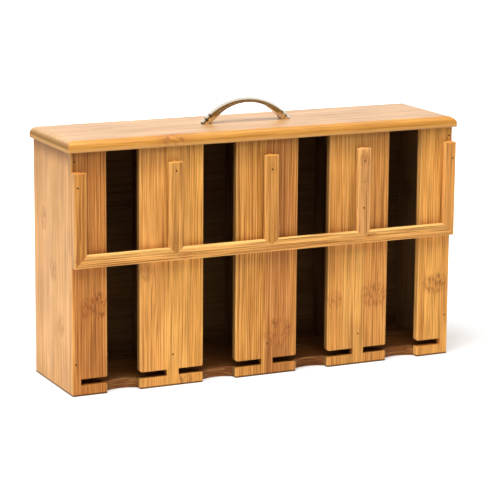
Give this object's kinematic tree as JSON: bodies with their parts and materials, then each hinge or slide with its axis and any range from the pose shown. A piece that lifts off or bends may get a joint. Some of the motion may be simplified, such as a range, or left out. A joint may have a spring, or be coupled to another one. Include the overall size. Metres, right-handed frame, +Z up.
{
  "type": "tea bag organizer box",
  "caption": "Bamboo tea bag organizer: compartments side by side, hinged lid with a bow handle, tall windows, outlet slots at the base and slat holders for a label sachet.",
  "frame": {"origin": "centre of the box's footprint, on the surface that it stands on", "axes": "+X to the right seen from the front, +Y to the back (the hinges are there), +Z up"},
  "size_m": [0.3468, 0.0951, 0.2238],
  "materials": {
    "bamboo_front": "satin",
    "bamboo_side": "satin",
    "bamboo_frame": "satin",
    "bamboo_lid": "satin",
    "handle_metal": "brushed",
    "hinge_steel": "satin",
    "brad_steel": "dull"
  },
  "bodies": {
    "box": {"base_board": "bamboo_side", "left_side_panel": "bamboo_side", "right_side_panel": "bamboo_side", "back_panel": "bamboo_side", "divider_1": "bamboo_side", "divider_2": "bamboo_side", "divider_3": "bamboo_side", "front_board_1": "bamboo_front", "front_board_2": "bamboo_front", "front_board_3": "bamboo_front", "front_board_4": "bamboo_front", "front_board_5": "bamboo_front", "label_rail": "bamboo_frame", "label_upright_1": "bamboo_frame", "label_upright_2": "bamboo_frame", "label_upright_3": "bamboo_frame", "label_upright_4": "bamboo_frame", "label_upright_5": "bamboo_frame", "board_brads": "brad_steel", "frame_brads": "brad_steel", "hinge_body_leaf_left": "hinge_steel", "hinge_body_leaf_right": "hinge_steel", "hinge_pin_left": "hinge_steel", "hinge_pin_right": "hinge_steel", "hinge_body_screws": "hinge_steel"},
    "lid": {"lid_board": "bamboo_lid", "hinge_lid_leaf_left": "hinge_steel", "hinge_lid_leaf_right": "hinge_steel", "hinge_lid_screws": "hinge_steel", "handle": "handle_metal", "handle_screws": "hinge_steel"}
  },
  "joints": [
    {"name": "lid_hinge", "type": "hinge", "parent": "box", "child": "lid", "pos_m": [0, 0.04415, 0.19515], "axis": [-1, 0, 0], "range_deg": [0, 210]}
  ]
}
